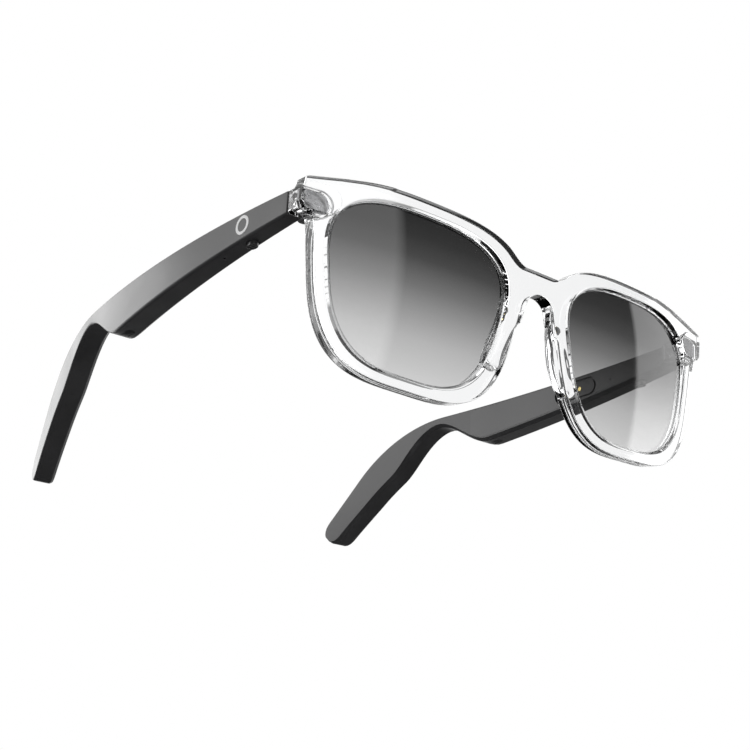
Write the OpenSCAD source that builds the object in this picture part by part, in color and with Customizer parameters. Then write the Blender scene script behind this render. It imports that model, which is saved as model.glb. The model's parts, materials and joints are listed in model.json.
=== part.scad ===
// Smart glasses: a clear front with graduated grey lenses, and two hinged temples
// that hold a battery, circuit board, speaker, microphone, button and charge contacts.
// Millimetres. X to the viewer's right, Y backwards, Z up, standing on rims and temple tips.

/* [Front] */
// Lens width at mid height
lens_w = 51.5; // [48:0.5:52]
// Lens height
lens_h = 44.3; // [40:0.5:46]
// Squareness of the lens outline
lens_square = 2.96; // [2.4:0.05:3.4]
// Squareness of the outer outline of the rims
rim_square = 3.3; // [2.8:0.1:4]
// Distance from the middle of the face to a lens centre
lens_x = 38.5; // [38:0.25:39]
// Width of the rim outside the lens
rim_outer = 3.9; // [3.4:0.1:4.4]
// Width of the rim on the nose side of the lens
rim_nose = 4.5; // [4.2:0.1:5.2]
// Width of the rim above the lens
rim_top = 3.3; // [3:0.1:4]
// Width of the rim below the lens
rim_bottom = 2.8; // [2.4:0.1:4]
// Front to back depth of the rims
rim_depth = 4; // [3.9:0.1:4.6]
// Radius the whole front is wrapped to
wrap_r = 409; // [350:10:500]
// Height of the bridge, top to arch
bridge_h = 6.4; // [5:0.1:7]
// Radius of the keyhole arch under the bridge
arch_r = 5.2; // [4.6:0.1:5.6]
// Forward lean of the front when worn
front_tilt = 7.8; // [6:0.1:9]

/* [Lenses] */
// Lens thickness
lens_t = 1.9; // [1.6:0.1:2]
// Outer radius of each lens
lens_r = 180; // [170:5:220]

/* [Temples] */
// Half width at the widest point of the temples
half_w = 76.7; // [75:0.1:78]
// Plan radius of a temple's outer face
outer_r = 440; // [420:5:480]
// Plan radius of a temple's inner face
inner_r = 560; // [540:5:600]
// Thickness of a temple where it is widest
temple_t = 7.15; // [6.9:0.05:7.6]
// Upward slope of the temples when worn
temple_slope = 2.7; // [2:0.1:3.4]
// Lean of the hinge pins towards the middle, which makes the folded temples cross
pin_lean = 4; // [0:0.5:6]
// Straight length from the joint to the ear bend
straight_l = 104.3; // [104:0.1:108]
// Radius of the ear bend along the top edge
bend_r = 58; // [50:1:64]
// Angle the temple turns down behind the ear
bend_a = 46.2; // [42:0.5:48]
// Straight length after the bend
tip_l = 25.5; // [22:0.5:28]
// Temple height at the joint
joint_h = 6.6; // [6.4:0.1:7]
// Temple height at the rear of the deep body
belly_h = 13.3; // [13:0.1:14.5]
// Temple height at the neck behind the body
neck_h = 3.6; // [3.4:0.1:4.6]
// Temple height at the ear
ear_h = 12.4; // [10:0.1:13]
// Temple height at the tip
tip_h = 9.3; // [8:0.1:10]
// Wall thickness of the temple shells
wall = 1.2; // [1.1:0.05:1.3]

/* [Controls and contacts] */
// How far the button travels
button_travel = 0.4; // [0.2:0.05:0.4]
// How far the button stands out of the underside
button_out = 1.1; // [0.8:0.1:1.4]
// Length of the charging contact recess
contact_l = 18; // [16:0.5:18]
// Height of the charging contact recess
contact_h = 6.6; // [6:0.1:6.8]
// Radius of a charging contact pin
pin_r = 0.7; // [0.5:0.05:0.8]

/* [Hidden] */
$fn = 96;
fine = 360;
big = 400;
fit = 0.05;
steps = 64;

// Lens outline: a squared ellipse, wider at the top and turned a little.
lens_z = 3.03;
lens_taper = 0.1755;
rim_taper = 0.17;
lens_shear = -0.0584;
lens_turn = 0.0398;
lens_bow = -0.0224;

function power(v, n) = sign(v) * pow(abs(v), 2 / n);
function outline(outer, nose, up, down, n, taper) =
    let (a = (lens_w + outer + nose) / 2, b = (lens_h + up + down) / 2)
    [for (i = [0 : steps - 1])
        let (u = power(cos(360 * i / steps), n), v = power(sin(360 * i / steps), n))
        [lens_x + (outer - nose) / 2 + a * u * (1 + taper * v) + lens_shear * b * v,
         lens_z + (up - down) / 2 + b * v + lens_turn * a * u + lens_bow * a * u * u]];
function lens_outline(grow) = outline(grow, grow, grow, grow, lens_square, lens_taper);

rim_outline = outline(rim_outer, rim_nose, rim_top, rim_bottom, rim_square, rim_taper);
groove_d = 0.7;
groove_set = 1.1;
wrap_at_lens = asin(lens_x / wrap_r);
bridge_top = 20.5;
bridge_half = 13;
arch_z = bridge_top - bridge_h - arch_r;
brow = [[48, 28.4], [62, 27], [72.9, 24.7], [73.4, 17.6], [70.6, 16.6], [68.6, 11], [50, 11]];

// Temple: the joint's top edge is the temple's own origin.
joint_y = 9.9;
joint_z = 24;
outer_y = 55;
inner_y = 42;
inner_x = half_w - temple_t;
bend_l = bend_r * bend_a * PI / 180;
path_l = straight_l + bend_l + tip_l;
belly_s = 83;
neck_s = 107;
ear_s = 138;
cap_l = 6;

function ease(a, b, t) = a + (b - a) * t * t * (3 - 2 * t);
function height(s) =
    s < belly_s ? joint_h + (belly_h - joint_h) * s / belly_s :
    s < neck_s ? ease(belly_h, neck_h, (s - belly_s) / (neck_s - belly_s)) :
    s < ear_s ? ease(neck_h, ear_h, (s - neck_s) / (ear_s - neck_s)) :
    ease(ear_h, tip_h, (s - ear_s) / (path_l - ear_s));
function turn(s) =
    s < straight_l ? 0 :
    s < straight_l + bend_l ? (s - straight_l) / bend_r * 180 / PI : bend_a;
function along(s) =
    s < straight_l ? [s, 0] :
    let (a = turn(s), e = max(0, s - straight_l - bend_l))
    [straight_l + bend_r * sin(a) + e * cos(a), -bend_r * (1 - cos(a)) - e * sin(a)];
function round_off(s) =
    s < path_l - cap_l ? 0 : 1 - pow(1 - pow((s - path_l + cap_l) / cap_l, 2.6), 1 / 2.6);
function edge(s, k) =
    let (a = turn(s), h = height(s), d = h * (k + (0.5 - k) * round_off(s)))
    along(s) + d * [-sin(a), -cos(a)];

s_top = concat([0], [for (s = [straight_l : 2 : path_l - cap_l]) s],
               [for (i = [0 : 6]) path_l - cap_l * cos(15 * i)]);
s_low = concat([0, 40], [for (s = [belly_s : 2 : path_l - cap_l]) s],
               [for (i = [0 : 5]) path_l - cap_l * cos(15 * i)]);
temple_outline = concat([for (s = s_top) edge(s, 0)],
                        [for (i = [len(s_low) - 1 : -1 : 0]) edge(s_low[i], 1)]);

function inner_face(y) = inner_x - inner_r + sqrt(pow(inner_r, 2) - pow(y - inner_y, 2));
function outer_face(y) = half_w - outer_r + sqrt(pow(outer_r, 2) - pow(y - outer_y, 2));
function underside(y) = -height(y);

// Hinge, in the temple's own frame
hinge_x = 66.9;
hinge_y = 1.9;
hinge_top = -0.9;
hinge_h = 4.9;
knuckle_r = 1.5;
knuckle_h = hinge_h / 3;
knuckle_gap = 0.1;
bore_r = 0.65;
pivot_r = 0.6;
pivot_head_r = 1.1;
pivot_head_t = 0.5;
leaf_t = 0.9;
leaf_y = -3.2;
pocket_d = hinge_h + 0.5;
pocket_l = 3.9;
relief_r = 1.9;
joint_gap = 0.15;
arm_w = 1.6;
arm_in = 1.1;
pivot_slot = 0.25;
plate_x = 69.75;
plate_l = 8;
leaf_screw_y = [4.6, 7.4];
leaf_screw_r = 0.4;
leaf_screw_head_r = 0.75;
leaf_screw_head_t = 0.4;
leaf_screw_end = 72.6;
block_x = 63.3;
block_l = 14;

// Nose pads, in the front's own plane
pad_mid = [10.8, -0.5];
pad_lean = 110;
pad_l = 19;
pad_w = 5.6;
pad_r = 22;
pad_back = 7;
pad_seat_r = wrap_r - rim_depth - fit;

// Temple insides
cover_t = 1.1;
cover_from = 4.6;
cover_to = 90.9;
cover_inset = 0.7;
cover_low = 1.6;
cavity_from = 12.6;
cavity_to = 89.5;
cavity_inset = 1.4;
button_y = 16.8;
button_l = 3.4;
button_w = 2.6;
button_gap = 0.2;
flange_t = 0.4;
flange_w = 0.35;
flange_gap = 0.1;
rib_pitch = 1.1;
rib_r = 0.3;
seat = 0.02;
button_x = (inner_face(button_y) + outer_face(button_y)) / 2;
mic_y = 27.8;
mic_hole_r = 0.35;
mic_port_r = 0.25;
mic_size = [1.3, 3, 1];
led_y = 26.7;
led_z = -4.7;
led_r = 0.4;
screw_y = 10.3;
screw_z = -3.4;
screw_r = 1;
screw_set = 0.1;
screw_head_t = 0.5;
screw_l = 3;
contact_y = inner_y;
contact_z = -4.7;
contact_gap = 0.8;
contact_ledge = 0.5;
contact_depth = 0.5;
pin_out = 0.1;
contact_pitch = 3.8;
board_x = 72.4;
board_t = 0.8;
board_outline = [[13.4, -1.7], [49.5, -1.7], [49.5, -8.6], [31, -7.5], [31, -5.2], [13.4, -5.2]];
// Each chip: [from the front, lowest point, length, height, thickness]
chips = [[31.6, -6.8, 5.6, 4.2, 1], [47, -7, 2, 3, 0.8], [21.4, -4.8, 2.2, 2.6, 0.7],
    [24.4, -4.6, 1.2, 2.2, 0.6]];
emblem_y = 17.6;
emblem_z = -3.6;
emblem_r = 2.6;
emblem_band = 0.8;
emblem_t = 0.2;
speaker_y = 83;
speaker_x = 72.1;
mic_x = 73.4;
switch_z = -5.5;
switch_size = [1.6, 3.6, 1.6];
battery_x = 72.85;
battery_y = 52;
battery_z = -5.4;
battery_l = 23.5;
battery_h = 7.2;
battery_t = 4;
speaker_l = 10;
speaker_w = 4;
speaker_h = 4.4;
speaker_up = 2.6;
nozzle_t = 0.4;
nozzle_w = 3;
mesh_rim = 0.4;
mesh_t = 0.4;
mesh_set = 0.1;
mesh_hole_r = 0.25;
mesh_pitch = [0.8, 0.9];
outlet_l = 7;
outlet_w = 2.6;

// Standing pose: one plane touches the rims and the temple tips.
function spin(p, a) = [p.x * cos(a) - p.y * sin(a), p.x * sin(a) + p.y * cos(a)];
function wrap(x, r) = wrap_r - sqrt(r * r - x * x);
rim_back = [for (p = rim_outline) spin([wrap(p.x, wrap_r - rim_depth), p.y], front_tilt)];
rim_front = [for (p = rim_outline) spin([wrap(p.x, wrap_r), p.y], front_tilt)];
temple_side = [for (p = temple_outline) spin(p, temple_slope) + [joint_y, joint_z]];
tip_side = [for (p = temple_side) if (p.x > 2 * straight_l / 3) p];
rest_angle = max([for (a = concat(rim_back, rim_front))
    min([for (b = tip_side) atan((b.y - a.y) / (b.x - a.x))])]);
rest_points = [for (p = concat(rim_back, rim_front, temple_side)) spin(p, -rest_angle)];
rest_z = min([for (p = rest_points) p.y]);
mid_y = (min([for (p = rest_points) p.x]) + max([for (p = rest_points) p.x])) / 2;

// ---- placing ----

module stand() {
    translate([0, -mid_y, -rest_z]) rotate([-rest_angle, 0, 0]) children();
}

module on_front() {
    rotate([front_tilt, 0, 0]) children();
}

module on_temple() {
    translate([0, joint_y, joint_z]) rotate([temple_slope, 0, 0]) children();
}

module left_temple() {
    stand() on_temple() children();
}

module right_temple() {
    mirror([1, 0, 0]) left_temple() children();
}

module left_front() {
    stand() on_front() children();
}

module right_front() {
    mirror([1, 0, 0]) left_front() children();
}

// ---- shared shapes ----

// A drawing in x and z, given depth from y0 to y1.
module through(y0, y1) {
    translate([0, y1, 0]) rotate([90, 0, 0]) linear_extrude(y1 - y0) children();
}

// A drawing in y and z, given width from x0 to x1.
module across(x0, x1) {
    translate([x0, 0, 0]) rotate([90, 0, 90]) linear_extrude(x1 - x0) children();
}

module wrapped(r) {
    translate([0, wrap_r, 0]) cylinder(r = r, h = big, center = true, $fn = fine);
}

module lens_solid(grow, from, to) {
    intersection() {
        through(-10, 20) polygon(lens_outline(grow));
        translate([lens_x - (lens_r - groove_set) * sin(wrap_at_lens),
                   wrap(lens_x, wrap_r) + groove_set + (lens_r - groove_set) * cos(wrap_at_lens),
                   lens_z])
            difference() {
                sphere(r = lens_r - from, $fn = fine);
                sphere(r = lens_r - to, $fn = fine);
            }
    }
}

module stadium(l, h) {
    translate([-(l - h) / 2, 0]) circle(d = h);
    translate([(l - h) / 2, 0]) circle(d = h);
    square([l - h, h], center = true);
}

// All that lies inward of a temple's outer face, less a depth.
module outer_side(depth) {
    translate([half_w - outer_r, outer_y, 0])
        cylinder(r = outer_r - depth, h = big, center = true, $fn = fine);
}

// All that lies inward of a temple's inner face, plus a depth.
module inside_face(depth) {
    translate([inner_x - inner_r, inner_y, 0])
        cylinder(r = inner_r + depth, h = big, center = true, $fn = fine);
}

module body_outline(y0, y1, top_inset, low_inset) {
    s = concat([y0, 40], [for (y = [belly_s : 2 : y1]) y], [y1]);
    polygon(concat([[y0, -top_inset], [y1, -top_inset]],
                   [for (i = [len(s) - 1 : -1 : 0]) [s[i], underside(s[i]) + low_inset]]));
}

module cross_slot(r, depth) {
    for (a = [0, 90])
        rotate([0, 0, a]) cube([1.4 * r, 0.3 * r, 2 * depth], center = true);
}

// ---- front ----

module bridge_outline() {
    difference() {
        polygon([[-bridge_half, bridge_top], [bridge_half, bridge_top], [bridge_half, 6],
                 [6.8, 5], [arch_r, arch_z], [-arch_r, arch_z], [-6.8, 5], [-bridge_half, 6]]);
        translate([0, arch_z]) circle(r = arch_r);
    }
}

module front_outline() {
    bridge_outline();
    for (m = [0, 1]) mirror([m, 0]) {
        polygon(rim_outline);
        polygon(brow);
    }
}

// Round towards the lens and square towards the temple's outer face.
module end_block() {
    intersection() {
        on_temple() intersection() {
            outer_side(0);
            translate([block_x + joint_h / 2, 0, -joint_h / 2]) through(-block_l, -joint_gap) {
                circle(d = joint_h);
                translate([0, -joint_h / 2]) square([block_l, joint_h]);
            }
        }
        on_front() wrapped(wrap_r);
    }
}

// Round towards the lens and straight towards the temple.
module pocket(gap, y0, y1) {
    translate([0, 0, hinge_top - hinge_h / 2]) through(y0, y1) {
        translate([hinge_x, 0]) circle(d = pocket_d + 2 * gap);
        translate([hinge_x, -pocket_d / 2 - gap]) square([pocket_l + gap, pocket_d + 2 * gap]);
    }
}

module front_frame() {
    color([0.93, 0.95, 0.97, 0.4]) stand() difference() {
        union() {
            on_front() difference() {
                intersection() {
                    through(-5, 20) front_outline();
                    wrapped(wrap_r);
                }
                wrapped(wrap_r - rim_depth);
            }
            end_block();
            mirror([1, 0, 0]) end_block();
        }
        for (m = [0, 1]) mirror([m, 0, 0]) {
            on_front() through(-10, 30) polygon(lens_outline(-groove_d));
            on_front() lens_solid(fit, -fit, lens_t + fit);
            on_temple() pocket(fit, leaf_y, 2);
        }
    }
}

module lens() {
    color([0.35, 0.35, 0.37, 0.6]) lens_solid(0, 0, lens_t);
}

module nose_pad() {
    color([0.93, 0.95, 0.97, 0.4]) intersection() {
        translate([pad_mid.x, 0, pad_mid.y]) rotate([0, -pad_lean, 0])
            through(3, 10) stadium(pad_l, pad_w);
        translate([pad_mid.x + pad_r / 6, pad_back - pad_r, pad_mid.y]) sphere(r = pad_r, $fn = fine);
        translate([pad_mid.x, wrap(pad_mid.x, pad_seat_r), 0]) rotate([0, 0, asin(pad_mid.x / pad_seat_r)])
            translate([-big / 2, 0, -big / 2]) cube(big);
    }
}

// ---- hinge ----

// On the pin: Z runs along it, from the middle of the hinge.
module on_pin() {
    translate([hinge_x, hinge_y, hinge_top - hinge_h / 2]) rotate([0, -pin_lean, 0]) children();
}

function knuckle_low(i) = hinge_h / 2 - (i + 1) * knuckle_h + knuckle_gap;

module knuckle(i) {
    translate([0, 0, knuckle_low(i)]) cylinder(r = knuckle_r, h = knuckle_h - knuckle_gap);
}

module pivot_hole() {
    on_pin() cylinder(r = bore_r, h = big, center = true);
}

module hinge_front_leaf() {
    color([0.62, 0.63, 0.65]) difference() {
        union() {
            pocket(0, leaf_y + fit, leaf_y + leaf_t);
            for (i = [0, 2]) on_pin() {
                knuckle(i);
                translate([-arm_in, leaf_y + leaf_t / 2 - hinge_y, knuckle_low(i)])
                    cube([arm_w, hinge_y - leaf_y - leaf_t / 2, knuckle_h - knuckle_gap]);
            }
        }
        pivot_hole();
    }
}

module hinge_pin() {
    color([0.72, 0.73, 0.75]) difference() {
        on_pin() translate([0, 0, knuckle_low(2)]) {
            cylinder(r = pivot_r, h = hinge_h - knuckle_gap);
            translate([0, 0, hinge_h - knuckle_gap])
                cylinder(r = pivot_head_r, h = pivot_head_t);
        }
        on_pin() translate([0, 0, hinge_h / 2 + pivot_head_t])
            cube([3 * pivot_head_r, pivot_slot, 2 * pivot_slot], center = true);
    }
}

module leaf_screw_axes() {
    for (y = leaf_screw_y)
        translate([plate_x, y, hinge_top - hinge_h / 2]) rotate([0, 90, 0]) children();
}

module leaf_screw(gap) {
    cylinder(r = leaf_screw_head_r + gap, h = leaf_screw_head_t);
    cylinder(r = leaf_screw_r + gap, h = leaf_screw_end - plate_x);
}

module hinge_temple_leaf() {
    color([0.62, 0.63, 0.65]) difference() {
        union() {
            on_pin() knuckle(1);
            on_pin() translate([0, -arm_w / 2, knuckle_low(1)])
                cube([plate_x + leaf_t / 2 - hinge_x, arm_w, knuckle_h - knuckle_gap]);
            translate([plate_x, hinge_y - arm_w / 2, hinge_top - hinge_h])
                cube([leaf_t, plate_l, hinge_h]);
        }
        pivot_hole();
        leaf_screw_axes() leaf_screw(seat);
    }
}

module leaf_screws() {
    color([0.7, 0.71, 0.73]) leaf_screw_axes() difference() {
        leaf_screw(0);
        cross_slot(leaf_screw_head_r, 0.2);
    }
}

// ---- temple ----

module cover_solid(gap) {
    intersection() {
        across(inner_x - 10, inner_x + 10)
            body_outline(cover_from - gap, cover_to + gap, cover_inset - gap, cover_low - gap);
        inside_face(cover_t + gap);
    }
}

module cavity() {
    difference() {
        intersection() {
            across(inner_x - 10, half_w)
                body_outline(cavity_from, cavity_to, cavity_inset, cavity_inset);
            outer_side(wall);
        }
        inside_face(0);
    }
}

module contact_shape(shrink) {
    translate([contact_y, contact_z])
        stadium(contact_l - 2 * shrink, contact_h - 2 * shrink);
}

module button_shape(gap) {
    translate([button_x, button_y, underside(button_y) - button_out])
        linear_extrude(big / 50) rotate(90) stadium(button_l + 2 * gap, button_w + 2 * gap);
}

module mic_hole() {
    translate([mic_x, mic_y, underside(mic_y) - 1]) cylinder(r = mic_hole_r, h = 3);
}

module outlet(gap, from, to) {
    translate([speaker_x, speaker_y, underside(speaker_y) + from])
        linear_extrude(to - from) rotate(90) stadium(outlet_l + 2 * gap, outlet_w + 2 * gap);
}

module emblem_shape(gap) {
    translate([half_w - 8, emblem_y, emblem_z]) rotate([0, 90, 0]) difference() {
        cylinder(r = emblem_r + gap, h = 12);
        translate([0, 0, -1]) cylinder(r = emblem_r - emblem_band - gap, h = 14);
    }
}

module screw_axis(x) {
    translate([x, screw_y, screw_z]) rotate([0, 90, 0]) children();
}

module cover_screw_shape(gap) {
    screw_axis(inner_face(screw_y) + screw_set) {
        cylinder(r = screw_r + gap, h = screw_head_t + gap);
        cylinder(r = screw_r / 2 + gap, h = screw_l + gap);
    }
}

module temple_shell() {
    color([0.24, 0.24, 0.25]) difference() {
        intersection() {
            across(inner_x - 25, half_w + 1) polygon(temple_outline);
            outer_side(0);
            translate([0, joint_gap, -big / 2]) cube([big, big, big]);
        }
        inside_face(0);
        cover_solid(fit);
        cavity();
        // hinge: room for the barrel, the arm and the leaf
        on_pin() cylinder(r = relief_r, h = big, center = true);
        translate([0, 0, hinge_top - hinge_h - fit])
            cube([plate_x + leaf_t + fit, hinge_y - arm_w / 2 + plate_l + fit,
                  hinge_h + 2 * fit]);
        leaf_screw_axes() leaf_screw(seat);
        cover_screw_shape(seat);
        button_shape(button_gap);
        mic_hole();
        outlet(0, -2, 4);
        outlet(mesh_rim, -2, mesh_set + mesh_t);
        difference() {
            emblem_shape(seat);
            outer_side(emblem_t);
        }
    }
}

module temple_cover() {
    color([0.22, 0.22, 0.23]) difference() {
        cover_solid(0);
        inside_face(0);
        cover_screw_shape(seat);
        translate([0, led_y, led_z]) rotate([0, 90, 0]) cylinder(r = led_r + seat, h = big);
        across(0, inner_x + contact_depth) contact_shape(0);
        across(0, inner_x + 5) contact_shape(contact_ledge);
    }
}

module cover_screw() {
    color([0.7, 0.71, 0.73]) difference() {
        cover_screw_shape(0);
        screw_axis(inner_face(screw_y) + screw_set) cross_slot(screw_r, 0.25);
    }
}

module contact_plate() {
    color([0.12, 0.12, 0.13]) difference() {
        union() {
            across(inner_x, inner_x + contact_depth + 2 * fit) contact_shape(contact_gap);
            across(inner_x + contact_depth + fit, inner_x + 1.5) contact_shape(contact_ledge + fit);
        }
        contact_pins_at(fit / 2);
    }
}

module contact_pins_at(gap) {
    for (k = [-1, 1])
        translate([inner_x - 1, contact_y + k * contact_pitch / 2, contact_z])
            rotate([0, 90, 0]) cylinder(r = pin_r + gap, h = board_x - inner_x + 1);
}

module contact_pins() {
    color([0.85, 0.68, 0.35]) difference() {
        contact_pins_at(0);
        translate([inner_x - pin_out - 5, 0, -big / 2]) cube([5, big, big]);
    }
}

module battery() {
    color([0.62, 0.64, 0.66]) translate([battery_x, battery_y, battery_z])
        rotate([-90, 0, 0]) linear_extrude(battery_l) rotate(90)
            stadium(battery_h, battery_t);
}

module circuit_board() {
    color([0.09, 0.27, 0.17]) across(board_x, board_x + board_t)
        polygon(board_outline);
}

module board_chips() {
    color([0.14, 0.14, 0.15]) for (c = chips)
        translate([board_x - c[4], c[0], c[1]]) cube([c[4], c[2], c[3]]);
}

module button_switch() {
    color([0.75, 0.75, 0.77])
        translate([board_x - switch_size.x, button_y - switch_size.y / 2, switch_z])
            cube(switch_size);
}

module button() {
    color([0.16, 0.16, 0.17]) {
        difference() {
            intersection() {
                button_shape(0);
                translate([0, 0, switch_z - button_travel - flange_gap - big]) cube(big);
            }
            for (k = [-1 : 1])
                translate([button_x, button_y + k * rib_pitch, underside(button_y) - button_out])
                    rotate([0, 90, 0]) cylinder(r = rib_r, h = 2 * button_w, center = true);
        }
        translate([button_x, button_y, switch_z - button_travel - flange_gap - flange_t])
            linear_extrude(flange_t)
                square([button_w + 2 * flange_w, button_l + 2 * flange_w], center = true);
    }
}

module status_light() {
    color([0.9, 0.93, 0.95]) difference() {
        translate([inner_x - 5, led_y, led_z]) rotate([0, 90, 0])
            cylinder(r = led_r, h = board_x - inner_x + 5);
        inside_face(0);
    }
}

module microphone() {
    color([0.8, 0.72, 0.5]) difference() {
        translate([mic_x - mic_size.x * 0.7, mic_y - mic_size.y / 2,
                   underside(mic_y) + cavity_inset + 3 * fit])
            cube(mic_size);
        translate([mic_x, mic_y, underside(mic_y)]) cylinder(r = mic_port_r, h = 2);
    }
}

module speaker() {
    color([0.16, 0.16, 0.17]) {
        translate([speaker_x - speaker_w / 2, speaker_y - speaker_l / 2,
                   underside(speaker_y) + speaker_up])
            cube([speaker_w, speaker_l, speaker_h]);
        translate([speaker_x, speaker_y, underside(speaker_y) + speaker_up - nozzle_t])
            linear_extrude(nozzle_t) rotate(90) stadium(speaker_l - 2, nozzle_w);
    }
}

module speaker_mesh() {
    color([0.3, 0.3, 0.31]) difference() {
        outlet(mesh_rim - fit, mesh_set, mesh_set + mesh_t);
        for (y = [-3 : 3], x = [-1 : 1])
            translate([speaker_x + x * mesh_pitch.x, speaker_y + y * mesh_pitch.y,
                       underside(speaker_y)])
                cylinder(r = mesh_hole_r, h = 1, $fn = 24);
    }
}

module emblem() {
    color([0.95, 0.95, 0.95]) difference() {
        intersection() {
            emblem_shape(0);
            outer_side(0);
        }
        outer_side(emblem_t);
    }
}

// ---- nodes ----

front_frame();
right_front() lens();  // lens_right
left_front() lens();  // lens_left
right_front() nose_pad();  // nose_pad_right
left_front() nose_pad();  // nose_pad_left
right_temple() hinge_front_leaf();  // hinge_front_leaf_right
left_temple() hinge_front_leaf();  // hinge_front_leaf_left
right_temple() hinge_pin();  // hinge_pin_right
left_temple() hinge_pin();  // hinge_pin_left
right_temple() hinge_temple_leaf();  // hinge_temple_leaf_right
left_temple() hinge_temple_leaf();  // hinge_temple_leaf_left
right_temple() leaf_screws();  // leaf_screws_right
left_temple() leaf_screws();  // leaf_screws_left
right_temple() temple_shell();  // temple_shell_right
left_temple() temple_shell();  // temple_shell_left
right_temple() temple_cover();  // temple_cover_right
left_temple() temple_cover();  // temple_cover_left
right_temple() cover_screw();  // cover_screw_right
left_temple() cover_screw();  // cover_screw_left
right_temple() contact_plate();  // contact_plate_right
left_temple() contact_plate();  // contact_plate_left
right_temple() contact_pins();  // contact_pins_right
left_temple() contact_pins();  // contact_pins_left
right_temple() battery();  // battery_right
left_temple() battery();  // battery_left
right_temple() circuit_board();  // circuit_board_right
left_temple() circuit_board();  // circuit_board_left
right_temple() board_chips();  // board_chips_right
left_temple() board_chips();  // board_chips_left
right_temple() speaker();  // speaker_right
left_temple() speaker();  // speaker_left
right_temple() speaker_mesh();  // speaker_mesh_right
left_temple() speaker_mesh();  // speaker_mesh_left
right_temple() microphone();  // microphone_right
left_temple() microphone();  // microphone_left
right_temple() button();  // button_right
left_temple() button();  // button_left
right_temple() button_switch();  // button_switch_right
left_temple() button_switch();  // button_switch_left
right_temple() status_light();  // status_light_right
left_temple() status_light();  // status_light_left
right_temple() emblem();  // emblem_right
left_temple() emblem();  // emblem_left
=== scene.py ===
"""Smart glasses: the looks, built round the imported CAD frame.

Shapes are worked out in millimetres in the design's own frames (front and temple), for the
wearer's left side, and mirrored for the right. Place turns them into metres in the row frame.
"""
import json
import math

import bmesh
import bpy
import numpy as np
import openvdb
from mathutils import Matrix, Vector


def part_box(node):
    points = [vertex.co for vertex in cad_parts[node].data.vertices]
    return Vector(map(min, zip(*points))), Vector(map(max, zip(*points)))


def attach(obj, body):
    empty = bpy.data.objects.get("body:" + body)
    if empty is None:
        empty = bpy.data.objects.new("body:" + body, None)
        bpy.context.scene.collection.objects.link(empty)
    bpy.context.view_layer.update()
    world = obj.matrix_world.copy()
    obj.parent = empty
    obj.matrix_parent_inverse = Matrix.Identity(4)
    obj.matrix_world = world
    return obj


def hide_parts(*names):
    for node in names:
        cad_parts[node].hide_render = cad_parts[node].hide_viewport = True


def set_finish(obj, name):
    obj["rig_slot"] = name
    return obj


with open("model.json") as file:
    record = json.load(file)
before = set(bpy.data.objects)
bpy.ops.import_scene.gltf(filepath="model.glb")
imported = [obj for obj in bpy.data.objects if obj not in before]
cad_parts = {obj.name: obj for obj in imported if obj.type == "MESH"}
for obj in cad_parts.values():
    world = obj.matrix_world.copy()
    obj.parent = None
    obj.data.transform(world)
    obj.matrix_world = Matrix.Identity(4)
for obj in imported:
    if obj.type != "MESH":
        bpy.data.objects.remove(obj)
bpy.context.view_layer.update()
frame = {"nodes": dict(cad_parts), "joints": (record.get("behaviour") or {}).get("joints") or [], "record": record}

MM = 0.001
SIDES = {"left": 1, "right": -1}
X_AXIS = np.array([1.0, 0.0, 0.0])

# ---- design dimensions, millimetres and degrees ----

LENS_W, LENS_H, LENS_SQUARE = 51.5, 44.3, 2.96
RIM_SQUARE, RIM_OUTER, RIM_NOSE, RIM_TOP, RIM_BOTTOM = 3.3, 3.9, 4.5, 3.3, 2.8
LENS_X, LENS_Z = 38.5, 3.03
LENS_TAPER, RIM_TAPER, LENS_SHEAR, LENS_TURN, LENS_BOW = 0.1755, 0.17, -0.0584, 0.0398, -0.0224
RIM_DEPTH, WRAP_R = 4.0, 409.0
LENS_R, LENS_T = 180.0, 1.9
GROOVE_D, GROOVE_SET, GROOVE_FIT = 0.7, 1.1, 0.05
BRIDGE_TOP, BRIDGE_H, ARCH_R = 20.5, 6.4, 5.2
ARCH_Z = BRIDGE_TOP - BRIDGE_H - ARCH_R
FRONT_TILT, TEMPLE_SLOPE = 7.8, 2.7
JOINT_Y, JOINT_Z, JOINT_GAP, JOINT_H = 9.9, 24.0, 0.15, 6.6
HALF_W, TEMPLE_T = 76.7, 7.15
OUTER_R, OUTER_Y, INNER_R, INNER_Y = 440.0, 55.0, 560.0, 42.0
INNER_X = HALF_W - TEMPLE_T
STRAIGHT_L, BEND_R, BEND_A, TIP_L, CAP_L = 104.3, 58.0, 46.2, 25.5, 6.0
BEND_L = BEND_R * math.radians(BEND_A)
PATH_L = STRAIGHT_L + BEND_L + TIP_L
BELLY_S, NECK_S, EAR_S = 83.0, 107.0, 138.0
BELLY_H, NECK_H, EAR_H, TIP_H = 13.3, 3.6, 12.4, 9.3
HINGE_X, HINGE_Y, HINGE_TOP, HINGE_H = 66.9, 1.9, -0.9, 4.9
POCKET_R, POCKET_L, POCKET_Y = 2.75, 3.95, -3.2
BLOCK_X, BLOCK_L = 63.3, 14.0
PAD_X, PAD_Z, PAD_LEAN, PAD_L, PAD_W, PAD_R, PAD_BACK = 10.8, -0.5, 110.0, 19.0, 5.6, 22.0, 7.0
BUTTON_Y, BUTTON_L, BUTTON_W, BUTTON_OUT = 16.8, 3.4, 2.6, 1.1
RELIEF_R, PIN_LEAN = 1.9, math.tan(math.radians(4))
BUTTON_TOP, FLANGE_T, FLANGE_W = -6.02, 0.36, 0.35
CHAMFER = 1.1
OUTLET_L, OUTLET_W = 7.0, 2.6
MIC_X, MIC_Y, MIC_R = 73.4, 27.8, 0.35
SPEAKER_X, SPEAKER_Y = 72.1, 83.0
EMBLEM_Y, EMBLEM_Z, EMBLEM_R, EMBLEM_BAND, EMBLEM_T = 17.6, -3.6, 2.6, 0.8, 0.2

# How far the drawn surfaces stay inside their outlines, and the flare of the lens openings.
SKIN, BEVEL = 0.07, 0.85
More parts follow.
